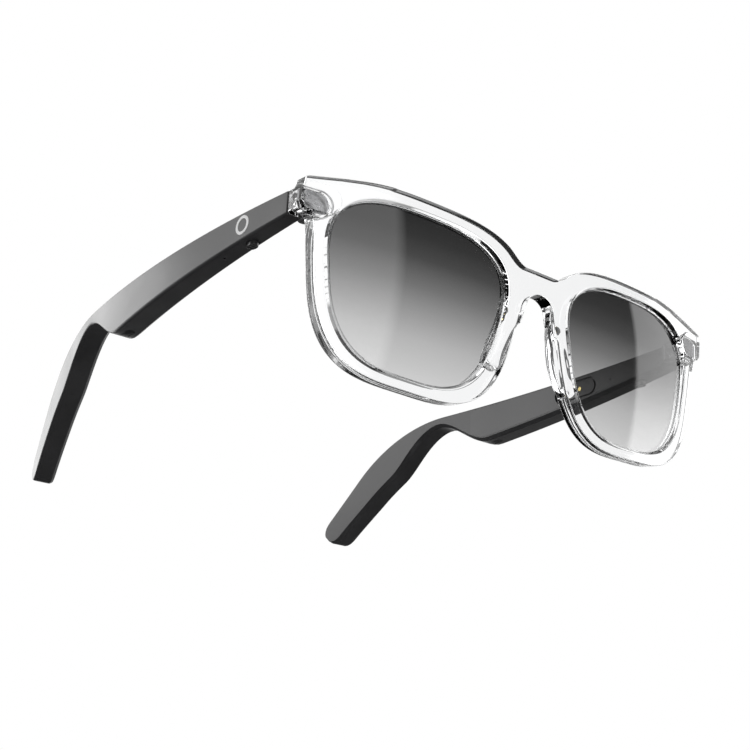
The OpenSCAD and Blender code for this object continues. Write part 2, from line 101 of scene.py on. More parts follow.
# Fillets where shapes of the front join, and radii of its edges.
BRIDGE_BLEND, BROW_BLEND, BLOCK_BLEND, PAD_BLEND = 2.6, 1.2, 0.9, 1.6
FACE_EDGE_R, OPENING_EDGE_R, GROOVE_EDGE_R = 0.36, 0.2, 0.12
BLOCK_SIDE_R, BLOCK_END_R, PAD_EDGE_R = 0.9, 0.35, 2.0
PAD_SINK = 1.5
FRONT_PITCH, FRONT_PITCH_QUICK = 0.18, 0.6


# ---- frames ----

class Place:
    """A frame of the design: its origin in row metres, and its upward direction."""

    def __init__(self, origin, up):
        self.origin = np.array(origin, float)
        self.up = np.array(up, float)
        self.back = np.cross(self.up, X_AXIS)

    def row(self, points):
        p = np.asarray(points, float)
        return self.origin + MM * (p[..., :1] * X_AXIS + p[..., 1:2] * self.back + p[..., 2:3] * self.up)

    def own(self, points):
        """Row points in this frame's millimetres."""
        p = (np.asarray(points, float) - self.origin) / MM
        return np.stack([p[:, 0], p @ self.back, p @ self.up], 1)

    def direction(self, v):
        return v[0] * X_AXIS + v[1] * self.back + v[2] * self.up

    def turned(self, degrees, y, z):
        """The frame turned about X, seen from a new origin whose place is (y, z) in the new frame."""
        a = math.radians(degrees)
        up = self.up * math.cos(a) - self.back * math.sin(a)
        new = Place(self.origin, up)
        new.origin = self.origin - MM * (y * new.back + z * new.up)
        return new


fold = next(j for j in frame["joints"] if j["name"] == "fold_left")
pin = np.array(fold["axis"], float)
TEMPLE = Place(fold["pos_m"], np.array([0, pin[1], pin[2]]) / math.hypot(pin[1], pin[2]))
TEMPLE.origin = TEMPLE.origin - MM * (
    HINGE_X * X_AXIS + HINGE_Y * TEMPLE.back + (HINGE_TOP - HINGE_H / 2) * TEMPLE.up)
WEAR = TEMPLE.turned(-TEMPLE_SLOPE, JOINT_Y, JOINT_Z)
FRONT = WEAR.turned(FRONT_TILT, 0, 0)


def front_to_temple(y, z):
    """Front coordinates (y, z) as temple coordinates."""
    offset = (FRONT.origin - TEMPLE.origin) / MM
    yt = offset @ TEMPLE.back + y * (FRONT.back @ TEMPLE.back) + z * (FRONT.up @ TEMPLE.back)
    zt = offset @ TEMPLE.up + y * (FRONT.back @ TEMPLE.up) + z * (FRONT.up @ TEMPLE.up)
    return yt, zt


# ---- outlines ----

def signed_power(v, n):
    return np.sign(v) * np.abs(v) ** (2 / n)


def outline(outer, nose, up, down, square, taper, count=240):
    """A squared ellipse round the lens, wider at the top and turned a little, as (x, z) rows."""
    t = 2 * math.pi * np.arange(count) / count
    a, b = (LENS_W + outer + nose) / 2, (LENS_H + up + down) / 2
    u, v = signed_power(np.cos(t), square), signed_power(np.sin(t), square)
    x = LENS_X + (outer - nose) / 2 + a * u * (1 + taper * v) + LENS_SHEAR * b * v
    z = LENS_Z + (up - down) / 2 + b * v + LENS_TURN * a * u + LENS_BOW * a * u * u
    return np.stack([x, z], 1)


def lens_outline(grow):
    return outline(grow, grow, grow, grow, LENS_SQUARE, LENS_TAPER)


RIM = outline(RIM_OUTER, RIM_NOSE, RIM_TOP, RIM_BOTTOM, RIM_SQUARE, RIM_TAPER)
BRIDGE = np.array([[-13, 20.5], [13, 20.5], [13, 6], [6.8, 5],
                   [5.2, ARCH_Z], [-5.2, ARCH_Z], [-6.8, 5], [-13, 6]])
BROW_ROUND = 1.1
BROW_CORE = np.array([[49, 27.1], [61.8, 25.8], [71.75, 23.7], [72.2, 18.6],
                      [69.8, 17.6], [67.6, 12.1], [51, 12.1]])


# ---- distance fields, negative inside ----

def polygon_distance(x, z, corners):
    """Distance to a closed outline, grown by SKIN so that the drawn surface stays inside it."""
    x, z = np.broadcast_arrays(x, z)
    nearest = np.full(x.shape, np.inf)
    inside = np.zeros(x.shape, bool)
    for (ax, az), (bx, bz) in zip(corners, np.roll(corners, -1, 0)):
        ex, ez = bx - ax, bz - az
        t = np.clip(((x - ax) * ex + (z - az) * ez) / (ex * ex + ez * ez), 0, 1)
        nearest = np.minimum(nearest, (x - ax - t * ex) ** 2 + (z - az - t * ez) ** 2)
        inside ^= ((az > z) != (bz > z)) & (x < ax + (z - az) * ex / (ez or 1))
    return np.where(inside, -1, 1) * np.sqrt(nearest) + SKIN


def blend_union(a, b, k):
    """A union whose inner corners are filled by a fillet about k wide."""
    h = np.maximum(k - np.abs(a - b), 0) / k
    return np.minimum(a, b) - h * h * k / 4


def round_both(a, b, r):
    """What is in both, with the edge between them rounded to radius r."""
    return np.minimum(-r, np.maximum(a, b)) + np.hypot(np.maximum(r + a, 0), np.maximum(r + b, 0))


class Table:
    """A flat distance field, read between the points of a fine grid."""

    pitch = 0.2
    low, high = np.array([-1.0, -30.0]), np.array([80.0, 36.0])

    def __init__(self, field):
        xs = np.arange(self.low[0], self.high[0], self.pitch)[:, None]
        zs = np.arange(self.low[1], self.high[1], self.pitch)[None, :]
        self.values = field(xs, zs)

    def __call__(self, x, z):
        x, z = np.broadcast_arrays(x, z)
        i = np.clip((x - self.low[0]) / self.pitch, 0, self.values.shape[0] - 1.001)
        j = np.clip((z - self.low[1]) / self.pitch, 0, self.values.shape[1] - 1.001)
        i0, j0 = i.astype(int), j.astype(int)
        fi, fj = i - i0, j - j0
        v = self.values
        return ((v[i0, j0] * (1 - fi) + v[i0 + 1, j0] * fi) * (1 - fj)
                + (v[i0, j0 + 1] * (1 - fi) + v[i0 + 1, j0 + 1] * fi) * fj)


def front_outline_field(x, z):
    bridge = np.maximum(polygon_distance(x, z, BRIDGE), ARCH_R - np.hypot(x, z - ARCH_Z))
    rims = blend_union(polygon_distance(x, z, RIM), bridge, BRIDGE_BLEND)
    return blend_union(rims, polygon_distance(x, z, BROW_CORE) - BROW_ROUND, BROW_BLEND)


outline_table = Table(front_outline_field)
opening_table = Table(lambda x, z: polygon_distance(x, z, lens_outline(-GROOVE_D)))
lens_table = Table(lambda x, z: polygon_distance(x, z, lens_outline(GROOVE_FIT)))


def lens_centre():
    """The centre of the spheres of the lens's two faces, in front coordinates."""
    a = math.asin(LENS_X / WRAP_R)
    reach = LENS_R - GROOVE_SET
    set_back = WRAP_R - math.sqrt(WRAP_R ** 2 - LENS_X ** 2) + GROOVE_SET
    return np.array([LENS_X - reach * math.sin(a), set_back + reach * math.cos(a), LENS_Z])


LENS_C = lens_centre()


def end_piece_field(x, y, z, ring):
    """The block that carries the hinge: round towards the lens, square towards the temple."""
    yt, zt = front_to_temple(y, z)
    mid_x, mid_z, r = BLOCK_X + JOINT_H / 2, -JOINT_H / 2, JOINT_H / 2
    flat = np.where(x < mid_x, np.hypot(x - mid_x, zt - mid_z), np.abs(zt - mid_z)) - r
    outer = np.hypot(x - (HALF_W - OUTER_R), yt - OUTER_Y) - OUTER_R
    ends = np.maximum(yt + JOINT_GAP, -yt - BLOCK_L)
    block = round_both(round_both(flat, outer, BLOCK_SIDE_R), ends, BLOCK_END_R)
    return np.maximum(block, ring - WRAP_R)


def pocket_field(x, y, z):
    """The D-shaped pocket for the front hinge leaf."""
    yt, zt = front_to_temple(y, z)
    mid_z = HINGE_TOP - HINGE_H / 2
    flat = np.where(x < HINGE_X, np.hypot(x - HINGE_X, zt - mid_z), np.abs(zt - mid_z)) - POCKET_R
    return np.maximum(np.maximum(flat, x - HINGE_X - POCKET_L), POCKET_Y - yt)


def pad_field(x, y, z, ring):
    """A nose pad, domed behind and sunk a little into the rim so that the two join."""
    a = math.radians(PAD_LEAN)
    along = (x - PAD_X) * math.cos(a) + (z - PAD_Z) * math.sin(a)
    across = -(x - PAD_X) * math.sin(a) + (z - PAD_Z) * math.cos(a)
    reach = (PAD_L - PAD_W) / 2
    capsule = np.hypot(along - np.clip(along, -reach, reach), across) - PAD_W / 2
    ball = np.sqrt((x - PAD_X - PAD_R / 6) ** 2 + (y - PAD_BACK + PAD_R) ** 2 + (z - PAD_Z) ** 2) - PAD_R
    return np.maximum(round_both(capsule, ball, PAD_EDGE_R), ring - (WRAP_R - RIM_DEPTH + PAD_SINK))


def front_distance(x, y, z):
    """The clear front with its nose pads, in front coordinates."""
    x = np.abs(x)
    ring = np.hypot(x, y - WRAP_R)
    slab = np.abs(ring - WRAP_R + RIM_DEPTH / 2) - RIM_DEPTH / 2
    solid = round_both(outline_table(x, z), slab, FACE_EDGE_R)
    solid = blend_union(solid, end_piece_field(x, y, z, ring), BLOCK_BLEND)
    opening = opening_table(x, z)
    flare = (opening - BEVEL + WRAP_R - ring) / math.sqrt(2)
    solid = round_both(solid, -np.minimum(opening, flare), OPENING_EDGE_R)
    solid = blend_union(solid, pad_field(x, y, z, ring), PAD_BLEND)
    ball = np.sqrt((x - LENS_C[0]) ** 2 + (y - LENS_C[1]) ** 2 + (z - LENS_C[2]) ** 2) - LENS_R
    groove = np.maximum(lens_table(x, z), np.maximum(ball - GROOVE_FIT, -LENS_T - GROOVE_FIT - ball))
    solid = round_both(solid, -groove, GROOVE_EDGE_R)
    return np.maximum(solid, -pocket_field(x, y, z))


# ---- meshes ----

def mesh_object(name, points, faces, place, mirror=1, smooth_angle=40):
    """A piece from points in millimetres of a place's frame; mirror is -1 for the right side."""
    p = np.array(points, float)
    p[:, 0] *= mirror
    mesh = bpy.data.meshes.new(name)
    mesh.from_pydata([tuple(v) for v in place.row(p)], [], [tuple(int(i) for i in f) for f in faces])
    mesh.validate()
    bm = bmesh.new()
    bm.from_mesh(mesh)
    bmesh.ops.remove_doubles(bm, verts=bm.verts, dist=1e-7)
    bmesh.ops.recalc_face_normals(bm, faces=bm.faces)
    bm.to_mesh(mesh)
    bm.free()
    mesh.shade_smooth()
    mesh.set_sharp_from_angle(angle=math.radians(smooth_angle))
    obj = bpy.data.objects.new(name, mesh)
    bpy.context.scene.collection.objects.link(obj)
    return obj


def mesh_points(mesh):
    p = np.zeros(3 * len(mesh.vertices))
    mesh.vertices.foreach_get("co", p)
    return p.reshape(-1, 3)


def apply_modifiers(obj):
    bpy.context.view_layer.update()
    dg = bpy.context.evaluated_depsgraph_get()
    mesh = bpy.data.meshes.new_from_object(obj.evaluated_get(dg))
    obj.modifiers.clear()
    obj.data = mesh


def cut(obj, *cutters):
    for cutter in cutters:
        m = obj.modifiers.new("cut", "BOOLEAN")
        m.operation, m.solver, m.object = "DIFFERENCE", "EXACT", cutter
        apply_modifiers(obj)
        bpy.data.objects.remove(cutter)


def weigh_normals(obj, smooth_angle=30):
    """Keeps wide faces flat beside their rounded edges."""
    obj.data.shade_smooth()
    obj.data.set_sharp_from_angle(angle=math.radians(smooth_angle))
    m = obj.modifiers.new("normals", "WEIGHTED_NORMAL")
    m.keep_sharp, m.weight, m.mode = True, 80, "FACE_AREA"
    apply_modifiers(obj)


def skin(rings, closed_ends=True):
    """Points and faces of a tube through rings of equal length."""
    rings = np.array(rings)
    count, size = rings.shape[:2]
    faces = [(a * size + i, a * size + (i + 1) % size, (a + 1) * size + (i + 1) % size, (a + 1) * size + i)
             for a in range(count - 1) for i in range(size)]
    if closed_ends:
        faces += [tuple(range(size))[::-1], tuple(range((count - 1) * size, count * size))]
    return rings.reshape(-1, 3), faces


def field_slope(distance, p, step=0.1):
    axes = step * np.eye(3)
    return np.stack([distance(*(p + a).T) - distance(*(p - a).T) for a in axes], 1) / (2 * step)


def field_mesh(name, distance, low, high, pitch):
    """The zero surface of a distance field in front coordinates, its points moved onto it."""
    axes = [np.arange(a, b, pitch) for a, b in zip(low, high)]
    slabs = np.array_split(axes[0], max(1, len(axes[0]) // 40))
    values = np.concatenate([
        np.clip(distance(xs[:, None, None], axes[1][None, :, None], axes[2][None, None, :]),
                -2 * pitch, 2 * pitch).astype(np.float32) for xs in slabs])
    grid = openvdb.FloatGrid(2 * pitch)
    grid.copyFromArray(values)
    points, quads = grid.convertToQuads(0.0)
    p = points.astype(float) * pitch + np.array(low)
    for _ in range(3):
        d, slope = distance(*p.T), field_slope(distance, p)
        size = np.maximum((slope ** 2).sum(1), 0.3)
        move = -(d / size)[:, None] * slope
        length = np.linalg.norm(move, axis=1, keepdims=True)
        p += move * np.minimum(1, 0.4 * pitch / np.maximum(length, 1e-9))
    obj = mesh_object(name, p, quads, FRONT, smooth_angle=180)
    slope = field_slope(distance, FRONT.own(mesh_points(obj.data)), 0.5 * pitch)
    normals = slope[:, :1] * X_AXIS + slope[:, 1:2] * FRONT.back + slope[:, 2:] * FRONT.up
    normals /= np.maximum(np.linalg.norm(normals, axis=1, keepdims=True), 1e-9)
    obj.data.normals_split_custom_set_from_vertices([tuple(n) for n in normals])
    return obj


# ---- the front ----

def build_front():
    reach = HALF_W + 1
    pitch = FRONT_PITCH
    obj = field_mesh("clear_front", front_distance, (-reach, -1.0, -27.0), (reach, 14.0, 31.0), pitch)
    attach(obj, "front")
    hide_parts("front_frame", "nose_pad_right", "nose_pad_left")
    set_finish(obj, "clear_frame")
    return obj


def lens_face(points, radius):
    """The y of a lens face of that radius at (x, z) points."""
    d = points - LENS_C[[0, 2]]
    return LENS_C[1] - np.sqrt(radius ** 2 - (d ** 2).sum(1))


def build_lens(side):
    edge = lens_outline(-0.02)[::2]
    centre = np.array([LENS_X, LENS_Z])
    rings = []
    steps = list(np.linspace(0.04, 0.96, 13)) + [0.993]
    for radius, order in ((LENS_R, steps), (LENS_R - LENS_T, steps[::-1])):
        inner = [centre + (edge - centre) * f for f in order]
        sheets = [np.column_stack([q[:, 0], lens_face(q, radius), q[:, 1]]) for q in inner]
        rim = np.column_stack([edge[:, 0], lens_face(edge, radius), edge[:, 1]])
        rim[:, 1] += 0.15 if radius == LENS_R else -0.15
        rings += sheets + [rim] if radius == LENS_R else [rim] + sheets
    points, faces = skin(rings)
    obj = mesh_object("tinted_lens_" + side, points, faces, FRONT, SIDES[side], 60)
    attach(obj, "front")
    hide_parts("lens_" + side)
    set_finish(obj, "tinted_lens")
    return obj


# ---- temples ----

def ease(a, b, t):
    return a + (b - a) * t * t * (3 - 2 * t)


def height(s):
    if s < BELLY_S:
        return JOINT_H + (BELLY_H - JOINT_H) * s / BELLY_S
    if s < NECK_S:
        return ease(BELLY_H, NECK_H, (s - BELLY_S) / (NECK_S - BELLY_S))
    if s < EAR_S:
        return ease(NECK_H, EAR_H, (s - NECK_S) / (EAR_S - NECK_S))
    return ease(EAR_H, TIP_H, (s - EAR_S) / (PATH_L - EAR_S))


def path(s):
    """The top edge's (y, z) and its downward turn in radians."""
    if s < STRAIGHT_L:
        return np.array([s, 0.0]), 0.0
    a = min((s - STRAIGHT_L) / BEND_R, math.radians(BEND_A))
    e = max(0.0, s - STRAIGHT_L - BEND_L)
    return np.array([STRAIGHT_L + BEND_R * math.sin(a) + e * math.cos(a),
                     -BEND_R * (1 - math.cos(a)) - e * math.sin(a)]), a


def inner_face(y):
    return INNER_X - INNER_R + np.sqrt(INNER_R ** 2 - (y - INNER_Y) ** 2)


def outer_face(y):
    return HALF_W - OUTER_R + np.sqrt(OUTER_R ** 2 - (y - OUTER_Y) ** 2)


def rounded(corners, radii, steps=4):
    """A closed outline with its corners turned into arcs."""
    out = []
    c = np.array(corners, float)
    for i, r in enumerate(radii):
        p, a, b = c[i], c[i - 1] - c[i], c[(i + 1) % len(c)] - c[i]
        la, lb = np.linalg.norm(a), np.linalg.norm(b)
        a, b = a / la, b / lb
        half = math.acos(max(-1, min(1, float(a @ b)))) / 2
        t = min(r / math.tan(half), 0.45 * la, 0.45 * lb)
        r = t * math.tan(half)
        mid = p + (a + b) / np.linalg.norm(a + b) * (r / math.sin(half))
        start, end = p + a * t - mid, p + b * t - mid
        for k in range(steps + 1):
            f = k / steps
            angle = math.acos(max(-1, min(1, float(start @ end) / r ** 2)))
            v = (math.sin((1 - f) * angle) * start + math.sin(f * angle) * end) / math.sin(angle)
            out.append(mid + v)
    return np.array(out)


def section(s, inset=0.0):
    """One ring of the temple's skin: thickness across, height down, chamfered inside and low."""
    top, a = path(s)
    cap = max(0.0, (s - PATH_L + CAP_L) / CAP_L)
    shrink = 1 - (1 - cap ** 2.6) ** (1 / 2.6)
    h = height(s)
    v0, v1 = h * 0.5 * shrink + inset, h * (1 - 0.5 * shrink) - inset
    y_mid = top[0] - math.sin(a) * h / 2
    t = float(outer_face(y_mid) - inner_face(y_mid))
    w0, w1 = inset, t - inset
    c = min(CHAMFER, 0.4 * (v1 - v0))
    soft = min(0.5, 0.3 * (v1 - v0))
    corners = [(w1, v0), (w1, v1), (w0 + c, v1), (w0, v1 - c), (w0, v0)]
    ring = rounded(corners, [soft, min(0.9, 0.35 * (v1 - v0)), soft / 2, soft / 2, soft])
    y = top[0] - math.sin(a) * ring[:, 1]
    z = top[1] - math.cos(a) * ring[:, 1]
    x = np.where(ring[:, 0] < t / 2, inner_face(y) + ring[:, 0], outer_face(y) - (t - ring[:, 0]))
    return np.column_stack([x, y, z])


def temple_stations():
    s = [(JOINT_GAP + SKIN, 0.35), (JOINT_GAP + 0.15, 0.15), (JOINT_GAP + 0.4, SKIN)]
    s += [(v, SKIN) for v in np.arange(2.0, PATH_L - CAP_L, 2.0)]
    s += [(PATH_L - CAP_L * math.cos(math.radians(v)), SKIN) for v in (0, 15, 30, 42, 54, 65, 75, 83, 87)]
    return s


def strip(y0, y1, top, low, near, far, step=3.0):
    """A closed bar along y: top and low give z, near and far give x, each from y."""
    ys = np.linspace(y0, y1, max(2, int((y1 - y0) / step) + 1))
    return skin([[(near(y), y, low(y)), (far(y), y, low(y)), (far(y), y, top(y)), (near(y), y, top(y))]
                 for y in ys])


def stadium(length, width, count=12):
    """A slot's outline, long along its second axis."""
    a = np.linspace(0, math.pi, count)
    r, reach = width / 2, (length - width) / 2
    upper = np.column_stack([r * np.cos(a), reach + r * np.sin(a)])
    return np.vstack([upper, -upper])


def post(flat, z0, z1, x, y):
    """A flat (x, y) outline drawn up from z0 to z1."""
    return skin([[(x + p[0], y + p[1], z) for p in flat] for z in (z0, z1)])


def underside(y):
    return -height(y)


BUTTON_X = float(inner_face(BUTTON_Y) + outer_face(BUTTON_Y)) / 2


def cutter(parts, side):
    points, faces = parts
    return mesh_object("cutter", points, faces, TEMPLE, SIDES[side])


def temple_cutters(side):
    """What is cut from a temple: cover seat, cavity, hinge relief and seat, key, microphone, outlet."""
    circle = [(math.cos(t), math.sin(t)) for t in 2 * math.pi * np.arange(48) / 48]
    plate_x, plate_y, plate_low, plate_high = 70.7, 9.15, -5.85, -0.85
    cover_start, cover_end, cover_top, cover_foot, cover_depth = 4.55, 90.95, -0.65, 1.55, 1.15
    cavity_start, cavity_end, wall, inner_wall, outer_wall = 12.6, 89.5, 1.4, 0.9, 1.2
    hinge_mid = HINGE_TOP - HINGE_H / 2
    shapes = [
        strip(cover_start, cover_end, lambda y: cover_top, lambda y: underside(y) + cover_foot,
              lambda y: inner_face(y) - 2, lambda y: inner_face(y) + cover_depth),
        strip(cavity_start, cavity_end, lambda y: -wall, lambda y: underside(y) + wall,
              lambda y: inner_face(y) + inner_wall, lambda y: outer_face(y) - outer_wall),
        skin([[(HINGE_X + RELIEF_R * u - PIN_LEAN * (z - hinge_mid), HINGE_Y + RELIEF_R * v, z)
               for u, v in circle] for z in (hinge_mid - 20, hinge_mid + 20)]),
        skin([[(x, -1, plate_low), (x, plate_y, plate_low), (x, plate_y, plate_high), (x, -1, plate_high)]
              for x in (60, plate_x)]),
        post(stadium(BUTTON_L + 0.4, BUTTON_W + 0.4), -12, -5, BUTTON_X, BUTTON_Y),
        post([(MIC_R * p[0], MIC_R * p[1]) for p in circle[::4]], -12, -6.5, MIC_X, MIC_Y),
        post(stadium(OUTLET_L, OUTLET_W), -18, underside(SPEAKER_Y) + 4, SPEAKER_X, SPEAKER_Y),
    ]
    return [cutter(s, side) for s in shapes]


def emblem_cutter(side):
    """The shallow ring that the printed mark lies in."""
    a = 2 * math.pi * np.arange(64) / 64
    inner = EMBLEM_R - EMBLEM_BAND
    rings = []
    for radius, deep in ((EMBLEM_R, False), (EMBLEM_R, True), (inner, True), (inner, False)):
        y = EMBLEM_Y + radius * np.cos(a)
        x = outer_face(y) - EMBLEM_T if deep else outer_face(y) + 1
        rings.append(np.column_stack([x, y, EMBLEM_Z + radius * np.sin(a)]))
    rings.append(rings[0])
    points, faces = skin(rings, closed_ends=False)
    return cutter((points, faces), side)


def build_temple(side):
    points, faces = skin([section(s, inset) for s, inset in temple_stations()])
    obj = mesh_object("temple_body_" + side, points, faces, TEMPLE, SIDES[side])
    cut(obj, *temple_cutters(side), emblem_cutter(side))
    weigh_normals(obj)
    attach(obj, "temple_" + side)
    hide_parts("temple_shell_" + side)
    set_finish(obj, "graphite_shell")
    return obj


def build_mesh(side):
    """The pierced cover of the sound outlet, just inside the opening and following the underside."""
    edge = stadium(OUTLET_L - 0.06, OUTLET_W - 0.06, 16)
    scales = (0.1, 0.4, 0.7, 0.93, 1.0)

    def sheet(f, above):
        return [(SPEAKER_X + f * x, SPEAKER_Y + f * y, underside(SPEAKER_Y + f * y) + above) for x, y in edge]

    rings = [sheet(f, 0.1) for f in scales] + [sheet(f, 0.45) for f in scales[::-1]]
    points, faces = skin(rings)
    obj = mesh_object("outlet_mesh_" + side, points, faces, TEMPLE, SIDES[side])
    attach(obj, "temple_" + side)
    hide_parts("speaker_mesh_" + side)
    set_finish(obj, "mesh_metal")
    return obj


def build_button(side):
    """A slider-shaped key: flange inside, and ribs across its outer face."""
    low = underside(BUTTON_Y) - BUTTON_OUT
    rib_pitch, rib_height = 1.2, 0.18
    foot = stadium(BUTTON_L + 2 * FLANGE_W, BUTTON_W + 2 * FLANGE_W, 16)
    body = stadium(BUTTON_L, BUTTON_W, 16)
    rings = [[(x, y, BUTTON_TOP) for x, y in foot], [(x, y, BUTTON_TOP - FLANGE_T) for x, y in foot],
             [(x, y, BUTTON_TOP - FLANGE_T) for x, y in body], [(x, y, low + 0.3) for x, y in body],
             [(0.97 * x, 0.98 * y, low + 0.1) for x, y in body]]
    for f in np.linspace(0.93, 0.06, 12):
        rings.append([(f * x, f * y, low + rib_height * (1 - math.cos(2 * math.pi * f * y / rib_pitch)) / 2)
                      for x, y in body])
    points, faces = skin(rings)
    points = points + np.array([BUTTON_X, BUTTON_Y, 0])
    obj = mesh_object("ribbed_button_" + side, points, faces, TEMPLE, SIDES[side], 45)
    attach(obj, "button_" + side)
    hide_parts("button_" + side)
    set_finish(obj, "button_plastic")
    return obj


# ---- materials ----

def new_material(name):
    mat = bpy.data.materials.new(name)
    mat.use_nodes = True
    nodes = mat.node_tree.nodes
    return mat, nodes, mat.node_tree.links, nodes["Principled BSDF"]


def noise(nodes, links, scale, detail=3.0, stretch=(1, 1, 1)):
    """Noise in object metres; scale is in waves per metre."""
    coord = nodes.new("ShaderNodeTexCoord")
    mapping = nodes.new("ShaderNodeMapping")
    mapping.inputs["Scale"].default_value = [scale * v for v in stretch]
    tex = nodes.new("ShaderNodeTexNoise")
    tex.inputs["Scale"].default_value = 1.0
    tex.inputs["Detail"].default_value = detail
    links.new(coord.outputs["Object"], mapping.inputs["Vector"])
    links.new(mapping.outputs["Vector"], tex.inputs["Vector"])
    return tex.outputs["Fac"]


def spread(nodes, links, fac, low, high):
    """A value that runs from low to high as fac goes through the middle of its range."""
    m = nodes.new("ShaderNodeMapRange")
    m.inputs["From Min"].default_value, m.inputs["From Max"].default_value = 0.3, 0.7
    m.inputs["To Min"].default_value, m.inputs["To Max"].default_value = low, high
    links.new(fac, m.inputs["Value"])
    return m.outputs["Result"]


def colours(nodes, links, fac, stops):
    ramp = nodes.new("ShaderNodeValToRGB")
    e = ramp.color_ramp.elements
    while len(e) < len(stops):
        e.new(0.5)
    for item, (at, c) in zip(e, stops):
        item.position = at
        item.color = (*((c,) * 3 if isinstance(c, (int, float)) else c), 1)
    links.new(fac, ramp.inputs["Fac"])
    return ramp.outputs["Color"]


def bump(nodes, links, shader, fac, depth):
    """Relief of that depth in metres."""
    b = nodes.new("ShaderNodeBump")
    b.inputs["Strength"].default_value = 1.0
    b.inputs["Distance"].default_value = depth
    links.new(fac, b.inputs["Height"])
    links.new(b.outputs["Normal"], shader.inputs["Normal"])


def paint_edge_highlight(nodes, links, colour, highlight_tone, amount):
    """Painted highlight: mixes a paler colour in where the surface is convex, in place of the light that rounded
    edges catch.
    """
    geometry = nodes.new("ShaderNodeNewGeometry")
    near = nodes.new("ShaderNodeMapRange")
    near.inputs["From Min"].default_value, near.inputs["From Max"].default_value = 0.53, 0.62
    near.inputs["To Max"].default_value = amount
    links.new(geometry.outputs["Pointiness"], near.inputs["Value"])
    mix = nodes.new("ShaderNodeMix")
    mix.data_type = "RGBA"
    links.new(near.outputs["Result"], mix.inputs["Factor"])
    links.new(colour, mix.inputs["A"])
    mix.inputs["B"].default_value = (*highlight_tone, 1)
    return mix.outputs["Result"]


def moulded(name, tone, rough, grain=2600, depth=6e-6, highlight_amount=0.25):
    """Moulded plastic: fine grain, slightly uneven gloss, and a painted highlight that makes convex edges paler.
    """
    mat, nodes, links, shader = new_material(name)
    broad = noise(nodes, links, 70, 2)
    fine = noise(nodes, links, grain, 4)
    dark, pale = [v * 0.88 for v in tone], [min(1, v * 1.14) for v in tone]
    colour = colours(nodes, links, broad, [(0.35, tuple(dark)), (0.65, tuple(pale))])
    # Painted highlight: convex edges are mixed towards a paler tone, standing in for light caught on rounded
    # edges.
    colour = paint_edge_highlight(nodes, links, colour, [min(1, v * 2.2 + 0.01) for v in tone], highlight_amount)
    links.new(colour, shader.inputs["Base Color"])
    links.new(spread(nodes, links, broad, rough - 0.03, rough + 0.03), shader.inputs["Roughness"])
    bump(nodes, links, shader, fine, depth)
    return mat


def metal(name, tone, rough, grain=(1, 1, 1), scale=900):
    """Metal with a brushed or rolled grain, and a painted highlight that makes convex edges paler."""
    mat, nodes, links, shader = new_material(name)
    streaks = noise(nodes, links, scale, 5, grain)
    colour = colours(nodes, links, streaks, [(0.3, tuple(v * 0.8 for v in tone)), (0.7, tuple(tone))])
    # Painted highlight: convex edges are mixed towards a paler tone, standing in for light caught on rounded
    # edges.
    colour = paint_edge_highlight(nodes, links, colour, [min(1, v * 1.2) for v in tone], 0.5)
    links.new(colour, shader.inputs["Base Color"])
    links.new(spread(nodes, links, streaks, rough * 0.8, rough * 1.3), shader.inputs["Roughness"])
    shader.inputs["Metallic"].default_value = 1.0
    bump(nodes, links, shader, streaks, 3e-6)
    return mat


def clear_plastic(name):
    mat, nodes, links, shader = new_material(name)
    shader.inputs["Transmission Weight"].default_value = 1.0
    shader.inputs["IOR"].default_value = 1.49
    haze = noise(nodes, links, 160, 3)
    links.new(colours(nodes, links, haze, [(0.3, (0.975, 0.98, 0.985)), (0.7, (0.99, 0.992, 0.995))]),
              shader.inputs["Base Color"])
    links.new(spread(nodes, links, haze, 0.0, 0.012), shader.inputs["Roughness"])
    bump(nodes, links, shader, noise(nodes, links, 90, 2), 2e-6)
    return mat


# How pale the lens is, from its lowest point (0) to its highest (1).
LENS_TINT = [(0.0, 0.68), (0.1, 0.60), (0.25, 0.49), (0.38, 0.35), (0.55, 0.18), (0.72, 0.065),
             (0.85, 0.033), (1.0, 0.02)]
PLATING_SCALE = 1500


def graduated_glass(name, low, high):
    """Grey glass, dark above and pale below, between two heights in metres."""
    mat, nodes, links, shader = new_material(name)
    coord = nodes.new("ShaderNodeTexCoord")
    axes = nodes.new("ShaderNodeSeparateXYZ")
    links.new(coord.outputs["Object"], axes.inputs["Vector"])
    rise = nodes.new("ShaderNodeMapRange")
    rise.inputs["From Min"].default_value, rise.inputs["From Max"].default_value = low, high
    links.new(axes.outputs["Z"], rise.inputs["Value"])
    links.new(colours(nodes, links, rise.outputs["Result"], LENS_TINT), shader.inputs["Base Color"])
    shader.inputs["Transmission Weight"].default_value = 1.0
    shader.inputs["IOR"].default_value = 1.5
    links.new(spread(nodes, links, noise(nodes, links, 120, 2), 0.0, 0.003), shader.inputs["Roughness"])
    return mat


def printed(name, tone):
    """Screen-printed ink: slightly uneven edge to edge."""
    mat, nodes, links, shader = new_material(name)
    fine = noise(nodes, links, 3500, 4)
    links.new(colours(nodes, links, fine, [(0.3, tuple(v * 0.9 for v in tone)), (0.7, tuple(tone))]),
              shader.inputs["Base Color"])
    links.new(spread(nodes, links, fine, 0.4, 0.55), shader.inputs["Roughness"])
    bump(nodes, links, shader, fine, 8e-6)
    return mat


